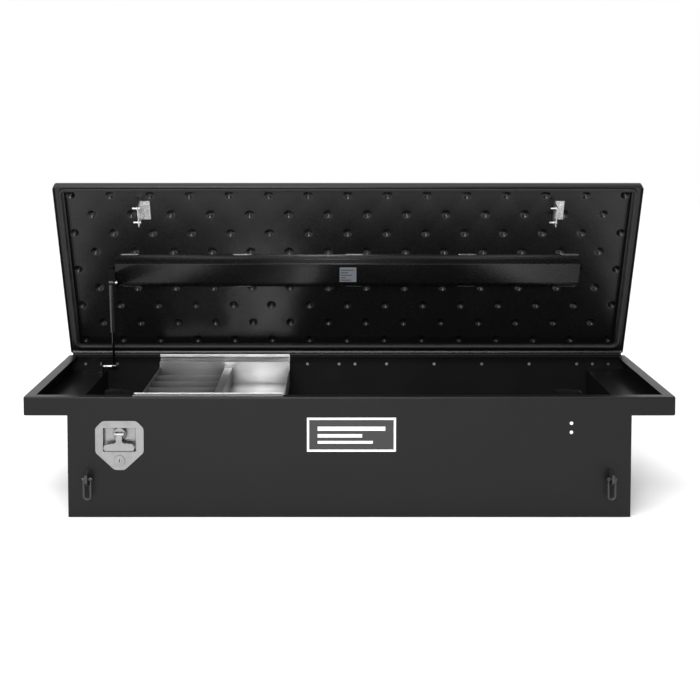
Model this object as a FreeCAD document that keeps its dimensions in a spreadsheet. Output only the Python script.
import FreeCAD, Part

import math
import os
import re

import Sketcher
from FreeCAD import Placement, Rotation, Vector

# Crossover tool box for a pickup truck bed: a T-shaped aluminium box whose side
# wings hang on the bed rails, with a full-width lid hinged at the back.
# Frame: X to the right, Y to the back, Z up. The origin is the centre of the
# box's floor. The model rests with its lid open, held by its gas strut.
#
# Most places are given from three edges: "front" and "back" are the outer faces
# of the front and back panels, and "rim" is the top of the box's rim.

SIZES = {
    # box
    "overall_width": 1778, "overall_depth": 597, "rim_height": 333,
    "lower_width": 1541, "wing_height": 51, "sheet": 3.2, "rim_width": 28,
    "bend_radius": 5, "wing_corner": 4,
    # lid
    "lid_width": 1772, "lid_depth": 33, "lid_sheet": 2.5, "lid_gap": 1,
    "lid_open": 66.5, "frame_width": 28, "frame_sheet": 2, "seal_gap": 2.2,
    "seal_height": 9, "seal_width": 14, "seal_inset": 13, "seal_corner": 26,
    "seal_corner_inner": 12, "seal_forward": 9,
    # lid stiffener
    "hat_length": 1444, "hat_start": 249, "hat_base": 115, "hat_flange": 15,
    "hat_slope": 8, "hat_height": 20,
    # piano hinge
    "knuckle_radius": 4.5, "pin_radius": 2.25, "running_gap": 0.05,
    "leaf_sheet": 1.6, "leaf_height": 32, "hinge_length": 1760, "knuckle_length": 80,
    "knuckle_gap": 0.4, "rivet_radius": 2.4, "rivet_head": 4.6, "rivet_dome": 1.5,
    "rivet_drop": 19, "pitch": 25.4,
    # keepers on the lid and the tongues that pass through them
    "keeper_place": 630, "keeper_start": 61, "keeper_length": 63, "keeper_foot": 28,
    "keeper_leg": 52, "keeper_sheet": 3, "tongue_place": 92, "tongue_width": 20,
    "tongue_thickness": 8, "tongue_drop": 6.5, "tongue_length": 70, "tongue_reach": 22,
    "slot_gap": 2, "guide_width": 37, "guide_gap": 5, "rod_radius": 4,
    "rod_place": 19, "rod_drop": 66, "arm_sheet": 4,
    # lock
    "lock_place": 628, "lock_top": 65.5, "lock_bottom": 201, "lock_half": 66,
    "lock_plate": 2, "dish_half": 46.5, "dish_top": 83.5, "dish_bottom": 152,
    "dish_depth": 14, "dish_sheet": 1.5, "spindle_drop": 102, "spindle_radius": 8,
    "hub_radius": 16.5, "fold_place": 8.5, "cam_radius": 20, "cam_pin": 2.5,
    "cam_slot": 7, "handle_half": 41.7, "handle_reach": 34, "handle_bar": 20,
    "handle_thickness": 8, "handle_corner": 7, "lock_corner": 16, "stem_width": 16,
    "key_drop": 175, "plug_radius": 9,
    # sliding tray
    "tray_left": 593, "tray_right": 182, "tray_sheet": 1.5, "tray_lift": 0.3,
    "tray_front": 31, "tray_back": 540, "tray_floor": 82, "bin_top": 29,
    "bridge_left": 387, "bridge_right": 363, "divider_top": 35,
    "divider_pitch": 83, "divider_first": 109,
    # gas strut
    "strut_place": 736, "strut_foot_forward": 66.5, "strut_foot_drop": 25,
    "strut_head_forward": 269, "strut_tube": 7.5, "strut_bore": 6.5,
    "strut_rod": 4, "tube_length": 160, "rod_length": 180, "socket_radius": 7,
    "socket_width": 12, "stud_radius": 3,
    # lashing rings
    "ring_place": 714, "ring_drop": 222, "ring_out": 21, "tab_sheet": 7,
    "tab_reach": 40, "ring_pin": 3.4, "ring_rod": 3, "ring_half": 9, "ring_leg": 46,
    # plates
    "badge_width": 243, "badge_height": 94, "badge_top": 57, "badge_place": 5.5,
    "badge_sheet": 1, "label_size": 52, "label_sheet": 0.4,
}

doc = FreeCAD.newDocument("TruckToolBox")
sheet = doc.addObject("Spreadsheet::Sheet", "Dims")
for row, (alias, value) in enumerate(SIZES.items(), start=1):
    sheet.set(f"A{row}", alias)
    sheet.set(f"B{row}", str(value))
    sheet.setAlias(f"B{row}", alias)
doc.recompute()

# Shorthands for the three reference edges, in the box's frame.
EDGES = {
    "front": "(-Dims.overall_depth / 2)",
    "back": "(Dims.overall_depth / 2)",
    "rim": "Dims.rim_height",
}
nodes = []


def bound(text):
    """The expression with each size's name and each edge's name spelled out."""
    def spell(word):
        name = word.group()
        if name in SIZES:
            return "Dims." + name
        return EDGES.get(name, name)
    return re.sub(r"[a-z][a-z_]*", spell, str(text))


def bind(thing, **sizes):
    for name, text in sizes.items():
        thing.setExpression(name, bound(text))


def move(thing, spot):
    for axis, text in zip("xyz", spot):
        thing.setExpression("Placement.Base." + axis, bound(text))
    return thing


def box(name, size, corner):
    """A block with its size and its lowest corner."""
    block = doc.addObject("Part::Box", name)
    bind(block, Length=size[0], Width=size[1], Height=size[2])
    return move(block, corner)


TURNS = {
    "x": Rotation(Vector(0, 1, 0), 90),
    "y": Rotation(Vector(1, 0, 0), -90),
    "z": Rotation(),
}


def cylinder(name, radius, length, start, axis):
    """A round bar from start, along one axis."""
    bar = doc.addObject("Part::Cylinder", name)
    bind(bar, Radius=radius, Height=length)
    bar.Placement = Placement(Vector(), TURNS[axis])
    return move(bar, start)


def fuse(name, shapes):
    joined = doc.addObject("Part::MultiFuse", name)
    joined.Shapes = shapes
    return joined


def cut(name, base, tool):
    left = doc.addObject("Part::Cut", name)
    left.Base = base
    left.Tool = tool
    return left


def group(name, shapes):
    """Separate solids that share a node."""
    together = doc.addObject("Part::Compound", name)
    together.Links = shapes
    return together


def fillet(name, base, radius, wanted):
    """Rounds the base's edges for which wanted(edge) is true."""
    doc.recompute()
    value = getattr(sheet, radius)
    rounded = doc.addObject("Part::Fillet", name)
    rounded.Base = base
    picked = [k for k, edge in enumerate(base.Shape.Edges, 1) if wanted(edge)]
    rounded.Edges = [(k, value, value) for k in picked]
    return rounded


def sketch_on(body, role, name):
    plane = next(f for f in body.Origin.OriginFeatures if f.Role == role)
    sketch = body.newObject("Sketcher::SketchObject", name)
    sketch.AttachmentSupport = [(plane, "")]
    sketch.MapMode = "FlatFace"
    return sketch


def polygon(sketch, corners):
    """Straight edges through corners, whose places are bound to the sheet."""
    count, first = len(corners), sketch.GeometryCount
    turn = 2 * math.pi / count
    spots = [Vector(math.cos(k * turn), math.sin(k * turn), 0) for k in range(count)]
    for k in range(count):
        sketch.addGeometry(Part.LineSegment(spots[k], spots[(k + 1) % count]), False)
    for k in range(count):
        after = first + (k + 1) % count
        sketch.addConstraint(Sketcher.Constraint("Coincident", first + k, 2, after, 1))
    for k, corner in enumerate(corners):
        for kind, text, value in zip(("DistanceX", "DistanceY"), corner, spots[k]):
            rule = Sketcher.Constraint(kind, -1, 1, first + k, 1, value)
            number = sketch.addConstraint(rule)
            sketch.setExpression(f"Constraints[{number}]", bound(text))


def circle(sketch, spot, radius):
    number = sketch.addGeometry(Part.Circle(Vector(), Vector(0, 0, 1), 1), False)
    for kind, text in zip(("DistanceX", "DistanceY"), spot):
        rule = sketch.addConstraint(Sketcher.Constraint(kind, -1, 1, number, 3, 0.0))
        sketch.setExpression(f"Constraints[{rule}]", bound(text))
    rule = sketch.addConstraint(Sketcher.Constraint("Radius", number, 1.0))
    sketch.setExpression(f"Constraints[{rule}]", bound(radius))


def pad(name, role, corners, length, start, holes=(), both=False):
    """A PartDesign body: an outline with round holes, padded along its plane's axis.

    The pad runs from start towards +X, +Y or +Z, or to both sides of it.
    """
    body = doc.addObject("PartDesign::Body", name)
    outline = sketch_on(body, role, name + "_outline")
    polygon(outline, corners)
    for spot, radius in holes:
        circle(outline, spot, radius)
    slab = body.newObject("PartDesign::Pad", name + "_pad")
    slab.Profile = outline
    bind(slab, Length=length)
    if both:
        slab.SideType = "Symmetric"
    elif role == "XZ_Plane":
        slab.Reversed = True
    axis = {"YZ_Plane": "x", "XZ_Plane": "y", "XY_Plane": "z"}[role]
    body.setExpression("Placement.Base." + axis, bound(start))
    return body


def node(thing, label):
    """Names a finished sub-part that stays with the box."""
    thing.Label = label
    nodes.append(thing)
    return thing


def lid_node(thing, label):
    """Names a sub-part of the lid, made about the hinge axis with the lid shut."""
    lid = group(label + "_on_lid", [thing])
    lid.Placement = Placement(Vector(), Rotation(Vector(1, 0, 0), -sheet.lid_open))
    move(lid, (0, HINGE_Y, "rim"))
    return node(lid, label)


HINGE_Y = "back + knuckle_radius"


# ---------------------------------------------------------------- the box

def rivet_columns():
    """Inches from the middle to each rivet of the hinge, on both sides."""
    offsets = (1, 5, 11, 17, 23, 29, 31, 33)
    return [side * inches for inches in offsets for side in (-1, 1)]


def t_panel(label, face, flange_start, holes, cutter=None):
    """The front or back panel: a T-shaped plate with its rim flange bent inward."""
    half, low, step = "overall_width / 2", "lower_width / 2", "rim - wing_height"
    corners = [
        ("-" + low, 0), (low, 0), (low, step), (half, step), (half, "rim"),
        ("-" + half, "rim"), ("-" + half, step), ("-" + low, step),
    ]
    plate = pad(label + "_plate", "XZ_Plane", corners, "sheet", face, holes)
    flange = box(
        label + "_flange", ("overall_width", "rim_width", "sheet"),
        ("-overall_width / 2", flange_start, "rim - sheet"),
    )
    panel = fuse(label + "_sheet", [plate, flange])
    if cutter:
        panel = cut(label + "_cut", panel, cutter)
    outer = -sheet.overall_depth / 2 if face == "front" else sheet.overall_depth / 2

    def top_bend(edge):
        return (
            edge.BoundBox.XLength > sheet.overall_width - 1
            and abs(edge.BoundBox.YMin - outer) < 0.01
            and abs(edge.BoundBox.ZMin - sheet.rim_height) < 0.01
        )
    bent = fillet(label + "_bent", panel, "bend_radius", top_bend)
    return node(fillet(label + "_cornered", bent, "wing_corner", at_wing_corner), label)


def at_wing_corner(edge):
    """Whether an edge runs front to back along a wing's outer lower corner."""
    spot, out = edge.BoundBox, sheet.overall_width / 2
    reach = max(abs(spot.XMin), abs(spot.XMax))
    return (
        spot.XLength < 0.01 and spot.ZLength < 0.01 and reach > out - 0.01
        and abs(spot.ZMin - sheet.rim_height + sheet.wing_height) < 0.01
    )


def lock_opening():
    """What the front panel loses behind the lock: the dish and the key cylinder."""
    clear = 1
    dish = box(
        "dish_hole",
        (f"2 * dish_half + {2 * clear}", 20, f"dish_bottom - dish_top + {2 * clear}"),
        (f"-lock_place - dish_half - {clear}", "front - 5", f"rim - dish_bottom - {clear}"),
    )
    key = cylinder(
        "key_hole", 12.5, 20, ("-lock_place", "front - 5", "rim - key_drop"), "y")
    return fuse("lock_hole", [dish, key])


RIVET_DROPS = (72, 97)
RIGHT_RIVETS_X = 606

t_panel(
    "front_panel", "front", "front",
    [((RIGHT_RIVETS_X, f"rim - {drop}"), "rivet_radius") for drop in RIVET_DROPS],
    lock_opening(),
)
t_panel(
    "rear_panel", "back - sheet", "back - rim_width",
    [((f"{k} * pitch", "rim - rivet_drop - 10"), "rivet_radius") for k in rivet_columns()],
)
node(
    box(
        "floor", ("lower_width - 2 * sheet", "overall_depth - 2 * sheet", "sheet"),
        ("-lower_width / 2 + sheet", "front + sheet", 0),
    ),
    "floor_panel",
)


def end_panel(label, side):
    """A side wall, its wing and its rim flange, folded from one sheet."""
    low, out, rim = f"{side} * lower_width / 2", f"{side} * overall_width / 2", "rim"
    thick = f"{side} * sheet"
    corners = [
        (low, 0), (low, "rim - wing_height"), (out, "rim - wing_height"), (out, rim),
        (f"{out} - {side} * rim_width", rim),
        (f"{out} - {side} * rim_width", "rim - sheet"),
        (f"{out} - {thick}", "rim - sheet"),
        (f"{out} - {thick}", "rim - wing_height + sheet"),
        (f"{low} - {thick}", "rim - wing_height + sheet"),
        (f"{low} - {thick}", 0),
    ]
    sharp = pad(label + "_sheet", "XZ_Plane", corners, "overall_depth - 2 * sheet",
                "front + sheet")
    folded = fillet(label + "_cornered", sharp, "wing_corner", at_wing_corner)
    mitres = [
        box(f"{label}_notch{k}", ("overall_width", "rim_width - sheet", "sheet"),
            ("-overall_width / 2", start, "rim - sheet"))
        for k, start in enumerate(("front + sheet", "back - rim_width"))
    ]
    node(cut(label + "_cut", folded, fuse(label + "_notches", mitres)), label)


end_panel("left_end_panel", -1)
end_panel("right_end_panel", 1)

node(
    box("badge", ("badge_width", "badge_sheet", "badge_height"),
        ("badge_place - badge_width / 2", "front - badge_sheet",
         "rim - badge_top - badge_height")),
    "badge_plate",
)


# ------------------------------------------------------- hinge and rivets

def knuckles(name, offset, sign):
    """Every second knuckle of the hinge, with the tab that joins it to its leaf."""
    count = int(sheet.hinge_length // sheet.knuckle_length)
    rolls = []
    for k in range(offset, count, 2):
        start = f"-hinge_length / 2 + {k} * knuckle_length + knuckle_gap / 2"
        length = "knuckle_length - knuckle_gap"
        rolls.append(cylinder(f"{name}_roll{k}", "knuckle_radius", length,
                              (start, 0, 0), "x"))
        low = 0 if sign > 0 else "-knuckle_radius - 0.2"
        rolls.append(box(f"{name}_tab{k}", (length, "leaf_sheet", "knuckle_radius + 0.2"),
                         (start, "-knuckle_radius", low)))
    return rolls


def hinge_leaf(name, offset, sign):
    """One leaf of the piano hinge, about the hinge axis."""
    low = "knuckle_radius + 0.1" if sign > 0 else "-leaf_height"
    flat = box(name + "_flat", ("hinge_length", "leaf_sheet",
                                "leaf_height - knuckle_radius - 0.1"),
               ("-hinge_length / 2", "-knuckle_radius", low))
    whole = fuse(name + "_whole", [flat] + knuckles(name, offset, sign))
    bore = cylinder(name + "_bore", "pin_radius + running_gap", "hinge_length + 2",
                    ("-hinge_length / 2 - 1", 0, 0), "x")
    holes = [
        cylinder(f"{name}_hole{k}", "rivet_radius", 6,
                 (f"{inches} * pitch", "-knuckle_radius - 2",
                  "rivet_drop" if sign > 0 else "-rivet_drop - 10"), "y")
        for k, inches in enumerate(rivet_columns())
    ]
    return cut(name + "_leaf", whole, fuse(name + "_bores", [bore] + holes))


def rivet(name, spot, depth, head="rivet_head"):
    """A blind rivet along Y: spot is the inner face, depth the sheets it holds."""
    x, y, z = spot
    return fuse(name, [
        cylinder(name + "_shank", "rivet_radius", depth, (x, y, z), "y"),
        cylinder(name + "_inner", head, "rivet_dome", (x, f"{y} - rivet_dome", z), "y"),
        cylinder(name + "_outer", head, "rivet_dome", (x, f"{y} + {depth}", z), "y"),
    ])


lower = group("lower_leaf_placed", [hinge_leaf("lower", 0, -1)])
node(move(lower, (0, HINGE_Y, "rim")), "hinge_lower_leaf")
lid_node(hinge_leaf("upper", 1, 1), "hinge_upper_leaf")
node(
    cylinder("pin", "pin_radius", "hinge_length", ("-hinge_length / 2", HINGE_Y, "rim"),
             "x"),
    "hinge_pin",
)
node(
    group("lower_rivets", [
        rivet(f"lower_rivet{k}", (f"{inches} * pitch", "back - sheet",
                                  "rim - rivet_drop - 10"), "(sheet + leaf_sheet)")
        for k, inches in enumerate(rivet_columns())
    ]),
    "hinge_lower_rivets",
)
lid_node(
    group("upper_rivets", [
        rivet(f"upper_rivet{k}", (f"{inches} * pitch", "-knuckle_radius - lid_sheet",
                                  "rivet_drop"), "(lid_sheet + leaf_sheet)")
        for k, inches in enumerate(rivet_columns())
    ]),
    "hinge_upper_rivets",
)


# ---------------------------------------------------------------- the lid
# The lid is drawn shut, about the hinge axis: -Y runs forward and Z up.

def lid_skin():
    """The lid's top and its four skirts, folded from one sheet."""
    outer = box("skin_outer", ("lid_width", "overall_depth", "lid_depth"),
                ("-lid_width / 2", "-knuckle_radius - overall_depth", "lid_gap"))

    def top(edge):
        return edge.BoundBox.ZMin > sheet.lid_gap + sheet.lid_depth - 0.01
    rounded = fillet("skin_rounded", outer, "bend_radius", top)
    inner = box("skin_inner", ("lid_width - 2 * lid_sheet",
                               "overall_depth - 2 * lid_sheet",
                               "lid_depth - lid_sheet"),
                ("-lid_width / 2 + lid_sheet",
                 "-knuckle_radius - overall_depth + lid_sheet", "lid_gap"))
    holes = [
        cylinder(f"skin_hole{k}", "rivet_radius", 6,
                 (f"{inches} * pitch", "-knuckle_radius - 4", "rivet_drop"), "y")
        for k, inches in enumerate(rivet_columns())
    ]
    return cut("skin", rounded, fuse("skin_hollow", [inner] + holes))


def ring(name, inset, width, height, low, ahead=0, corner=None):
    """A rectangular ring inside the lid, with rounded corners if corner is given.

    The inside of its front side stands seal_forward nearer to the lid's front edge
    than inset and width say, and the outside stands ahead nearer.
    """
    def block(part, inside, nearer):
        solid = box(f"{name}_{part}",
                    (f"lid_width - 2 * ({inside})",
                     f"overall_depth - 2 * ({inside}) + {nearer}", height),
                    (f"-lid_width / 2 + {inside}",
                     f"-knuckle_radius - overall_depth + {inside} - {nearer}", low))
        if not corner:
            return solid
        return fillet(f"{name}_{part}_round", solid, corner[part],
                      lambda edge: edge.BoundBox.ZLength > 1)
    return cut(name, block("outer", inset, ahead),
               block("inner", f"({inset} + {width})", "seal_forward"))


lid_node(lid_skin(), "lid_panel")
lid_node(
    ring("frame", "lid_sheet", "frame_width", "frame_sheet", "seal_gap + seal_height"),
    "lid_seal_frame",
)
lid_node(
    ring("seal", "seal_inset", "seal_width", "seal_height", "seal_gap", "seal_forward",
         {"outer": "seal_corner", "inner": "seal_corner_inner"}),
    "lid_seal",
)

LID_FRONT = "-knuckle_radius - overall_depth"
LID_INSIDE = "lid_gap + lid_depth - lid_sheet"


def stiffener():
    """The hat channel across the lid, welded to the inside of its top."""
    start, finish = f"({LID_FRONT} + hat_start)", f"({LID_FRONT} + hat_start + hat_base)"
    top, face = f"({LID_INSIDE})", f"({LID_INSIDE} - hat_height)"
    corners = [
        (start, top), (start, f"{top} - lid_sheet"),
        (f"{start} + hat_flange", f"{top} - lid_sheet"),
        (f"{start} + hat_flange + hat_slope", face),
        (f"{finish} - hat_flange - hat_slope", face),
        (f"{finish} - hat_flange", f"{top} - lid_sheet"),
        (finish, f"{top} - lid_sheet"), (finish, top),
        (f"{finish} - hat_flange - lid_sheet", top),
        (f"{finish} - hat_flange - lid_sheet - hat_slope", f"{face} + lid_sheet"),
        (f"{start} + hat_flange + lid_sheet + hat_slope", f"{face} + lid_sheet"),
        (f"{start} + hat_flange + lid_sheet", top),
    ]
    return pad("stiffener", "YZ_Plane", corners, "hat_length", 0, both=True)


lid_node(stiffener(), "lid_stiffener")
lid_node(
    box("label", ("label_size", "label_size", "label_sheet"),
        ("-label_size / 2 + 2",
         f"{LID_FRONT} + hat_start + (hat_base - label_size) / 2 + 4",
         f"{LID_INSIDE} - hat_height - label_sheet")),
    "stiffener_label",
)

KEEPER_MIDDLE = f"({LID_FRONT} + tongue_place)"


def keeper(name, place):
    """An angle bracket whose standing leg has the slot that the tongue enters."""
    start = f"{LID_FRONT} + keeper_start"
    foot = box(name + "_foot", ("keeper_foot", "keeper_length", "keeper_sheet"),
               (place, start, f"{LID_INSIDE} - keeper_sheet"))
    leg = box(name + "_leg", ("keeper_sheet", "keeper_length", "keeper_leg"),
              (f"{place} - keeper_sheet", start, f"{LID_INSIDE} - keeper_leg"))
    slot = box(name + "_slot",
               (20, "tongue_width + 2 * slot_gap", "tongue_thickness + 2 * slot_gap"),
               (f"{place} - 10", f"{KEEPER_MIDDLE} - tongue_width / 2 - slot_gap",
                "-tongue_drop - tongue_thickness / 2 - slot_gap"))
    holes = [
        cylinder(f"{name}_bolt_hole{k}", 3, 20,
                 (f"{place} - 10", f"{KEEPER_MIDDLE} + {offset}", "-tongue_drop"), "x")
        for k, offset in enumerate((-KEEPER_BOLT, KEEPER_BOLT))
    ]
    angle = fuse(name + "_angle", [foot, leg])
    return cut(name + "_bracket", angle, fuse(name + "_holes", [slot] + holes))


def keeper_bolt(name, place, offset):
    """A bolt through the keeper's leg, its shank to the left, and its nut."""
    y = f"{KEEPER_MIDDLE} + {offset}"
    return fuse(name, [
        cylinder(name + "_shank", 3, "keeper_sheet + 16",
                 (f"{place} - keeper_sheet - 16", y, "-tongue_drop"), "x"),
        cylinder(name + "_head", 5.5, 3, (place, y, "-tongue_drop"), "x"),
        cylinder(name + "_nut", 5.5, 4,
                 (f"{place} - keeper_sheet - 4", y, "-tongue_drop"), "x"),
    ])


KEEPER_BOLT = 24
SIDES = (("left", "-keeper_place"), ("right", "keeper_place"))
for side, place in SIDES:
    lid_node(keeper(side + "_keeper_made", place), side + "_keeper")
lid_node(
    group("bolts", [
        keeper_bolt(f"{side}_bolt{k}", place, offset)
        for side, place in SIDES
        for k, offset in enumerate((-KEEPER_BOLT, KEEPER_BOLT))
    ]),
    "keeper_bolts",
)


# ------------------------------------------------- latch rod and tongues
# The handle slides one rod, which carries a tongue for each keeper.

TONGUE_Y = "(front + tongue_place)"
TONGUE_Z = "(rim - tongue_drop)"


def latch_bracket(name, place, drop):
    """A shelf on the front panel's inside with the block that guides a tongue."""
    x = f"{place} - keeper_sheet - guide_gap - guide_width"
    plate = box(name + "_plate", ("guide_width", 3, f"{drop} - 20"),
                (x, "front + sheet", f"rim - {drop}"))
    shelf = box(name + "_shelf", ("guide_width", "tongue_place + 12 - sheet", 3),
                (x, "front + sheet", "rim - 20"))
    block = box(name + "_block", ("guide_width", 32, 16),
                (x, f"{TONGUE_Y} - 16", "rim - 17"))
    way = box(name + "_way",
              ("guide_width + 2", "tongue_width + 0.6", "tongue_thickness + 0.6"),
              (f"{x} - 1", f"{TONGUE_Y} - tongue_width / 2 - 0.3",
               f"{TONGUE_Z} - tongue_thickness / 2 - 0.3"))
    holes = [
        cylinder(f"{name}_hole{rivet_drop}", "rivet_radius", 20,
                 (RIGHT_RIVETS_X, "front - 5", f"rim - {rivet_drop}"), "y")
        for rivet_drop in RIVET_DROPS
    ]
    solid = fuse(name + "_solid", [plate, shelf, block])
    return cut(name + "_bracket", solid, fuse(name + "_holes", [way] + holes))


def tongue(name, place):
    """A bevelled bar that points right, through the keeper's slot."""
    tip = f"{place} + tongue_reach"
    top = f"{TONGUE_Z} + tongue_thickness / 2"
    low = f"{TONGUE_Z} - tongue_thickness / 2"
    corners = [
        (f"{tip} - tongue_length", low), (tip, low), (tip, f"{low} + 2"),
        (f"{tip} - 8", top), (f"{tip} - tongue_length", top),
    ]
    return pad(name, "XZ_Plane", corners, "tongue_width", f"{TONGUE_Y} - tongue_width / 2")


def tongue_arm(name, place):
    """The bent plate that joins a tongue's tail to the rod below it."""
    x = f"{place} + tongue_reach - tongue_length - arm_sheet"
    rod_low, shelf_low = "rim - rod_drop - 8", "rim - 36"
    near, far = "front + rod_place - 7", f"{TONGUE_Y} + tongue_width / 2"
    corners = [
        (near, rod_low), ("front + rod_place + 7", rod_low),
        ("front + rod_place + 7", shelf_low), (far, shelf_low), (far, "rim - 2.5"),
        (f"{far} - tongue_width", "rim - 2.5"), (f"{far} - tongue_width", "rim - 22"),
        (near, "rim - 22"),
    ]
    hole = (("front + rod_place", "rim - rod_drop"), "rod_radius")
    return pad(name, "YZ_Plane", corners, "arm_sheet", x, [hole])


for (side, place), drop in zip(SIDES, (80, 115)):
    node(latch_bracket(side + "_guide", place, drop), side + "_latch_bracket")
    node(tongue(side + "_tongue_bar", place), side + "_latch_tongue")
    node(tongue_arm(side + "_arm", place), side + "_tongue_arm")

ROD_START = "-keeper_place - tongue_length + tongue_reach - 20"
node(
    cylinder("rod", "rod_radius", "2 * keeper_place + 20",
             (ROD_START, "front + rod_place", "rim - rod_drop"), "x"),
    "latch_rod",
)


def cam_offset():
    """How far the cam's pin stands to the side of and above the spindle."""
    return "cam_radius * cos(45)"


def yoke():
    """The forked plate on the rod that the cam's pin pushes."""
    middle = f"-lock_place + {cam_offset()}"
    plate = box("yoke_plate", (20, 3, "spindle_drop - rod_drop - 9"),
                (f"{middle} - 10", "front + rod_place - 1.5", "rim - spindle_drop + 9"))
    slot = box("yoke_slot", ("cam_slot", 9, 17),
               (f"{middle} - cam_slot / 2", "front + rod_place - 5",
                "rim - spindle_drop + 7"))
    groove = cylinder("yoke_groove", "rod_radius", 40,
                      (f"{middle} - 20", "front + rod_place", "rim - rod_drop"), "x")
    return cut("yoke", plate, fuse("yoke_cuts", [slot, groove]))


node(yoke(), "latch_yoke")
node(
    group("guide_rivets_made", [
        rivet(f"guide_rivet{drop}", (RIGHT_RIVETS_X, "front", f"rim - {drop}"),
              "(sheet + 3)")
        for drop in RIVET_DROPS
    ]),
    "guide_rivets",
)


# ------------------------------------------------------------- the lock

LOCK_X = "-lock_place"


def lock_outline(grow):
    """The lock plate's outline: square shoulders above and a blunt point below."""
    half = f"(lock_half + {grow})"
    return [
        (f"{LOCK_X} - {half} + 20", f"rim - lock_top + {grow}"),
        (f"{LOCK_X} + {half} - 20", f"rim - lock_top + {grow}"),
        (f"{LOCK_X} + {half}", "rim - lock_top - 20"),
        (f"{LOCK_X} + {half}", "rim - dish_bottom - 1"),
        (f"{LOCK_X} + 14", f"rim - lock_bottom - {grow}"),
        (f"{LOCK_X} - 14", f"rim - lock_bottom - {grow}"),
        (f"{LOCK_X} - {half}", "rim - dish_bottom - 1"),
        (f"{LOCK_X} - {half}", "rim - lock_top - 20"),
    ]


def lock_housing():
    """The stamped plate with the dish that holds the handle's hub."""
    plate = pad("lock_face", "XZ_Plane", lock_outline(0), "lock_plate",
                "front - lock_plate - 1")

    def corner(edge):
        return edge.BoundBox.YLength > 1 and edge.BoundBox.XLength < 0.01
    rounded = fillet("lock_face_round", plate, "lock_corner", corner)
    shell = box("dish_shell",
                ("2 * dish_half", "dish_depth + dish_sheet + 1", "dish_bottom - dish_top"),
                (f"{LOCK_X} - dish_half", "front - 1", "rim - dish_bottom"))
    hollow = box("dish_hollow",
                 ("2 * (dish_half - dish_sheet)", "dish_depth + 5",
                  "dish_bottom - dish_top - 2 * dish_sheet"),
                 (f"{LOCK_X} - dish_half + dish_sheet", "front - 5",
                  "rim - dish_bottom + dish_sheet"))
    shaft = cylinder("shaft_hole", "spindle_radius + running_gap", 40,
                     (LOCK_X, "front - 5", "rim - spindle_drop"), "y")
    key = cylinder("plate_key_hole", 12, 10, (LOCK_X, "front - 5", "rim - key_drop"), "y")
    return cut("housing", fuse("housing_solid", [rounded, shell]),
               fuse("housing_holes", [hollow, shaft, key]))


node(lock_housing(), "lock_housing")


def lock_gasket():
    """The rubber sheet between the lock plate and the front panel."""
    mat = pad("gasket_mat", "XZ_Plane", lock_outline(-1), 1, "front - 1")
    dish = box("gasket_dish", ("2 * dish_half", 9, "dish_bottom - dish_top"),
               (f"{LOCK_X} - dish_half", "front - 5", "rim - dish_bottom"))
    key = cylinder("gasket_key", 12, 9, (LOCK_X, "front - 5", "rim - key_drop"), "y")
    return cut("gasket", mat, fuse("gasket_holes", [dish, key]))


node(lock_gasket(), "lock_gasket")


def spindle():
    """The handle's hub and shaft, with two ears for the folding pin."""
    z = "rim - spindle_drop"
    hub = cylinder("hub", "hub_radius", "dish_depth + 3.5", (LOCK_X, "front - 3.5", z), "y")
    shaft = cylinder("shaft", "spindle_radius", "dish_depth + 14", (LOCK_X, "front", z), "y")
    ears = []
    for k, start in enumerate((f"{LOCK_X} - stem_width / 2 - 5",
                               f"{LOCK_X} + stem_width / 2 + 0.3")):
        ears.append(box(f"ear{k}", (4.7, "fold_place - 3.5", 10),
                        (start, "front - fold_place", f"{z} - 5")))
        ears.append(cylinder(f"ear_round{k}", 5, 4.7, (start, "front - fold_place", z), "x"))
    solid = fuse("spindle_solid", [hub, shaft] + ears)
    bore = cylinder("fold_bore", 2, 60, (f"{LOCK_X} - 30", "front - fold_place", z), "x")
    return cut("spindle", solid, bore)


node(spindle(), "lock_spindle")
node(
    cylinder("fold_pin_bar", 2, "stem_width + 10",
             (f"{LOCK_X} - stem_width / 2 - 5", "front - fold_place", "rim - spindle_drop"),
             "x"),
    "handle_fold_pin",
)


def t_handle():
    """The folding T: a stem on the pin and a bar across its end."""
    top = "(rim - spindle_drop)"
    bar_top = f"({top} - handle_reach + handle_bar / 2)"
    bar_low = f"({top} - handle_reach - handle_bar / 2)"
    stem, half = "stem_width / 2", "handle_half"
    corners = [
        (f"{LOCK_X} - {stem}", top), (f"{LOCK_X} - {stem}", f"{bar_top} + 4"),
        (f"{LOCK_X} - {stem} - 5", bar_top), (f"{LOCK_X} - {half}", f"{bar_top} - 4"),
        (f"{LOCK_X} - {half}", bar_low), (f"{LOCK_X} + {half}", bar_low),
        (f"{LOCK_X} + {half}", f"{bar_top} - 4"), (f"{LOCK_X} + {stem} + 5", bar_top),
        (f"{LOCK_X} + {stem}", f"{bar_top} + 4"), (f"{LOCK_X} + {stem}", top),
    ]
    front = "front - fold_place - handle_thickness / 2"
    flat = pad("handle_flat", "XZ_Plane", corners, "handle_thickness", front)
    edge_x = -sheet.lock_place

    def end(edge):
        return edge.BoundBox.YLength > 1 and abs(edge.BoundBox.XMin - edge_x) > 40
    rounded = fillet("handle_round", flat, "handle_corner", end)
    eye = cylinder("handle_eye", "handle_thickness / 2", "stem_width",
                   (f"{LOCK_X} - {stem}", "front - fold_place", top), "x")
    bore = cylinder("handle_bore", "2 + running_gap", 60,
                    (f"{LOCK_X} - 30", "front - fold_place", top), "x")
    return cut("handle", fuse("handle_solid", [rounded, eye]), bore)


node(t_handle(), "t_handle")


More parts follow.
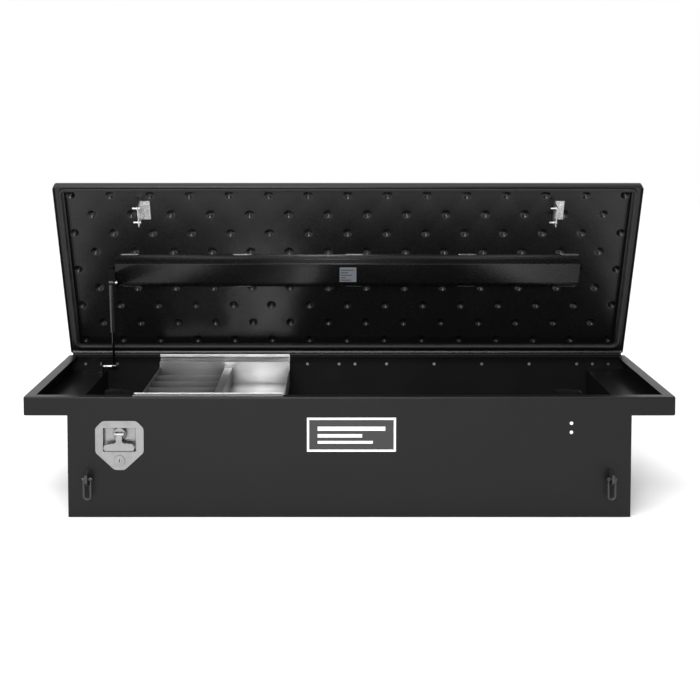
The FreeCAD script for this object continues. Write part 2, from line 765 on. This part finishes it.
def cam():
    """The lever on the inner end of the spindle, with the pin for the yoke."""
    y, z = "front + rod_place + 3", "rim - spindle_drop"
    plate = pad(
        "cam_plate", "XZ_Plane",
        [(f"{LOCK_X} - 12", f"{z} - 12"), (f"{LOCK_X} + 12", f"{z} - 12"),
         (f"{LOCK_X} + {cam_offset()} + 6", f"{z} + {cam_offset()} - 3"),
         (f"{LOCK_X} + {cam_offset()} + 3", f"{z} + {cam_offset()} + 6"),
         (f"{LOCK_X} + 2", f"{z} + {cam_offset()}"),
         (f"{LOCK_X} - 12", f"{z} + 6")],
        3, y, [((LOCK_X, z), "spindle_radius")],
    )
    pin = cylinder("cam_pin_bar", "cam_pin", 5.5,
                   (f"{LOCK_X} + {cam_offset()}", f"{y} - 5", f"{z} + {cam_offset()}"), "y")
    return fuse("cam_whole", [plate, pin])


node(cam(), "spindle_cam")


def key_sleeve():
    """The fixed body of the key lock, with its bezel in front of the plate."""
    z = "rim - key_drop"
    bezel = cylinder("bezel", 14, 1.5, (LOCK_X, "front - lock_plate - 2.5", z), "y")
    tube = cylinder("sleeve_tube", 12, 28, (LOCK_X, "front - lock_plate - 1", z), "y")
    bore = cylinder("sleeve_bore", "plug_radius + running_gap", 60,
                    (LOCK_X, "front - 20", z), "y")
    return cut("sleeve", fuse("sleeve_solid", [bezel, tube]), bore)


def key_plug():
    """The plug that the key turns, with its keyway."""
    z = "rim - key_drop"
    plug = cylinder("plug", "plug_radius", 32, (LOCK_X, "front - lock_plate - 2.8", z), "y")
    way = box("keyway", (2, 12, 9), (f"{LOCK_X} - 1", "front - lock_plate - 5", f"{z} - 4.5"))
    return cut("plug_cut", plug, way)


node(key_sleeve(), "key_lock_sleeve")
node(key_plug(), "key_plug")
node(
    pad("key_cam_plate", "XZ_Plane",
        [(f"{LOCK_X} - 8", "rim - key_drop - 8"), (f"{LOCK_X} + 26", "rim - key_drop - 5"),
         (f"{LOCK_X} + 26", "rim - key_drop + 5"), (f"{LOCK_X} - 8", "rim - key_drop + 8")],
        2.5, "front - lock_plate - 2.8 + 32"),
    "key_cam",
)


# ------------------------------------------------------------- the tray

TRAY_WIDTH = "tray_left - tray_right"


def tray_pan():
    """One folded sheet: front hook, front wall, floor, back wall, ledge and hook."""
    lift = "rim + tray_lift"
    top = "rim + tray_lift + tray_sheet"
    floor_low, floor_top = "rim - tray_floor", "rim - tray_floor + tray_sheet"
    inner_front, inner_back = "front + tray_front + tray_sheet", "front + tray_back - tray_sheet"
    ledge, riser = "rim - 12", "back - rim_width - 3"
    corners = [
        ("front + 9", lift), ("front + 9", top), (inner_front, top),
        (inner_front, floor_top), (inner_back, floor_top), (inner_back, ledge),
        (f"{riser} - tray_sheet", ledge), (f"{riser} - tray_sheet", top),
        ("back - 12", top), ("back - 12", lift), (riser, lift),
        (riser, f"{ledge} - tray_sheet"), ("front + tray_back", f"{ledge} - tray_sheet"),
        ("front + tray_back", floor_low), ("front + tray_front", floor_low),
        ("front + tray_front", lift),
    ]
    return pad("pan", "YZ_Plane", corners, TRAY_WIDTH, "-tray_left")


PAN_FRONT = "front + tray_front + tray_sheet"
PAN_LENGTH = "(tray_back - tray_front - 2 * tray_sheet)"
PAN_FLOOR = "rim - tray_floor + tray_sheet"


def wall(name, x):
    """An end wall of the tray, between its front and back walls."""
    return box(name, ("tray_sheet", PAN_LENGTH, "tray_floor - bin_top - tray_sheet"),
               (x, PAN_FRONT, PAN_FLOOR))


node(tray_pan(), "tray_pan")
node(wall("tray_wall_left", "-tray_left"), "tray_left_wall")
node(wall("tray_wall_right", "-tray_right - tray_sheet"), "tray_right_wall")


def bridge():
    """The inverted channel between the tray's two bins."""
    width = "bridge_left - bridge_right"
    outer = box("bridge_outer", (width, PAN_LENGTH, "tray_floor - bin_top - tray_sheet"),
                ("-bridge_left", PAN_FRONT, PAN_FLOOR))
    inner = box("bridge_inner",
                (f"{width} - 2 * tray_sheet", f"{PAN_LENGTH} + 2",
                 "tray_floor - bin_top - 2 * tray_sheet"),
                ("-bridge_left + tray_sheet", f"{PAN_FRONT} - 1", PAN_FLOOR))
    return cut("bridge", outer, inner)


node(bridge(), "tray_bridge")
DIVIDERS = 5
node(
    group("dividers", [
        box(f"divider{k}",
            ("tray_left - bridge_left - tray_sheet", "tray_sheet",
             "tray_floor - divider_top - tray_sheet"),
            ("-tray_left + tray_sheet", f"front + divider_first + {k} * divider_pitch",
             PAN_FLOOR))
        for k in range(DIVIDERS)
    ]),
    "tray_dividers",
)


# ------------------------------------------------------------- gas strut
# The strut stands between a stud on the left wing and one on the lid's stiffener.

open_angle = math.radians(sheet.lid_open)
foot = Vector(0, -sheet.strut_foot_forward, -sheet.strut_foot_drop)
head = Vector(0, -sheet.strut_head_forward * math.cos(open_angle),
              sheet.strut_head_forward * math.sin(open_angle))
run = head - foot
strut_length = run.Length
strut_lean = math.degrees(math.atan2(-run.y, run.z))
FOOT_Y, FOOT_Z = f"{HINGE_Y} - strut_foot_forward", "rim - strut_foot_drop"


def strut_node(parts, label):
    """Parts drawn upright over the foot's pivot, leaned towards the lid's stud."""
    strut = group(label + "_leaned", parts)
    strut.Placement = Placement(Vector(), Rotation(Vector(1, 0, 0), strut_lean))
    return node(move(strut, ("-strut_place", FOOT_Y, FOOT_Z)), label)


def socket(name, height):
    """A round end fitting across the strut."""
    return cylinder(name, "socket_radius", "socket_width",
                    ("-socket_width / 2", 0, height), "x")


rod_solid = fuse("strut_rod_solid", [
    cylinder("strut_bar", "strut_rod", "rod_length", (0, 0, 0), "z"),
    cylinder("piston", "strut_bore - running_gap", 8, (0, 0, "rod_length - 8"), "z"),
    socket("foot_socket", 0),
])
foot_bore = cylinder("foot_bore", "stud_radius + running_gap", 12,
                     ("-socket_width / 2 - 2", 0, 0), "x")
strut_node([cut("strut_rod_cut", rod_solid, foot_bore)], "strut_rod")

tube_start = strut_length - sheet.tube_length
tube_outer = cylinder("tube_outer", "strut_tube", "tube_length - 6", (0, 0, tube_start), "z")
tube_hollow = cylinder("tube_hollow", "strut_bore", "tube_length - 18",
                       (0, 0, tube_start - 1), "z")
head_shaft = cylinder("head_shaft", "strut_rod", 10, (0, 0, f"{strut_length} - 10"), "z")
head_stud = cylinder("head_stud", "stud_radius + 1", "strut_place - hat_length / 2 - 9.2",
                     ("socket_width / 2", 0, strut_length), "x")
tube_solid = fuse("tube_solid", [
    cut("tube_shell", tube_outer, tube_hollow), head_shaft,
    socket("head_socket", strut_length), head_stud,
])
strut_node([tube_solid], "strut_cylinder")
guide = cut(
    "guide_ring",
    cylinder("guide_outer", "strut_bore", 12, (0, 0, tube_start), "z"),
    cylinder("guide_inner", "strut_rod + running_gap", 20, (0, 0, tube_start - 4), "z"),
)
strut_node([guide], "strut_guide")

node(
    fuse("foot_bracket", [
        box("bracket_foot", (60, 30, 3),
            ("-lower_width / 2 - 60", f"{FOOT_Y} - 15", "rim - wing_height + sheet")),
        box("bracket_upright", (3, 30, "wing_height - sheet - 10"),
            ("-lower_width / 2 - 3", f"{FOOT_Y} - 15", "rim - wing_height + sheet")),
    ]),
    "strut_foot_bracket",
)
STUD_START = "-lower_width / 2"
node(
    fuse("foot_stud_whole", [
        cylinder("foot_stud_bar", "stud_radius + 1.5",
                 "lower_width / 2 - strut_place - socket_width / 2 - 0.2",
                 (STUD_START, FOOT_Y, FOOT_Z), "x"),
        cylinder("foot_stud_pin", "stud_radius",
                 "lower_width / 2 - strut_place + 2", (STUD_START, FOOT_Y, FOOT_Z), "x"),
    ]),
    "strut_foot_stud",
)
lid_node(
    fuse("head_bracket", [
        box("head_plate", (3, 60, 40),
            ("-hat_length / 2 - 3", "-strut_head_forward - 30", f"{LID_INSIDE} - 40")),
        box("head_flange", (22, 60, 3),
            ("-hat_length / 2 - 25", "-strut_head_forward - 30", f"{LID_INSIDE} - 3")),
    ]),
    "strut_lid_bracket",
)
lid_node(
    cylinder("head_nut", 6, 5, ("-hat_length / 2", "-strut_head_forward", 0), "x"),
    "strut_lid_nut",
)


# ---------------------------------------------------------- lashing rings

for side, sign in (("left", -1), ("right", 1)):
    x = f"{sign} * ring_place"
    pin_spot = ("front - ring_out", "rim - ring_drop")
    tab = pad(
        side + "_tab_plate", "YZ_Plane",
        [("front", "rim - ring_drop + 24"), ("front", "rim - ring_drop - 18"),
         ("front - 24", "rim - ring_drop - 18"),
         ("front - tab_reach", "rim - ring_drop - 6"),
         ("front - tab_reach", "rim - ring_drop + 16")],
        "tab_sheet", x, [(pin_spot, "ring_pin + running_gap")], both=True,
    )
    node(tab, side + "_lashing_tab")
    y, z = pin_spot
    pin = cylinder(side + "_ring_pin", "ring_pin", "2 * (ring_half + 5)",
                   (f"{x} - ring_half - 5", y, z), "x")
    legs = [
        cylinder(f"{side}_ring_leg{k}", "ring_rod", "ring_leg",
                 (f"{x} + {k} * ring_half", y, f"{z} - ring_leg"), "z")
        for k in (-1, 1)
    ]
    bow = doc.addObject("Part::Torus", side + "_ring_bow")
    bind(bow, Radius1="ring_half", Radius2="ring_rod")
    bow.Angle3 = 180
    bow.Placement = Placement(Vector(), Rotation(Vector(1, 0, 0), -90))
    move(bow, (x, y, f"{z} - ring_leg"))
    eyes = [
        cylinder(f"{side}_ring_eye{k}", "ring_pin + 2.4", 5,
                 (f"{x} + {k} * ring_half - 2.5", y, z), "x")
        for k in (-1, 1)
    ]
    node(fuse(side + "_ring_whole", [pin, bow] + legs + eyes), side + "_lashing_ring")


# ---------------------------------------------------------------- output

doc.recompute()
for thing in doc.Objects:
    if {"Invalid", "Error"} & set(thing.State):
        raise RuntimeError(f"{thing.Name} failed: {thing.State}")
os.makedirs("parts", exist_ok=True)
for thing in nodes:
    shape = thing.Shape
    if shape.isNull() or not shape.isValid() or not shape.Solids:
        raise RuntimeError(f"{thing.Label} has no valid solid")
    shape.exportStep(f"parts/{thing.Label}.step")
print(len(nodes), "nodes; strut", round(strut_length, 2), "mm at", round(strut_lean, 3), "deg")
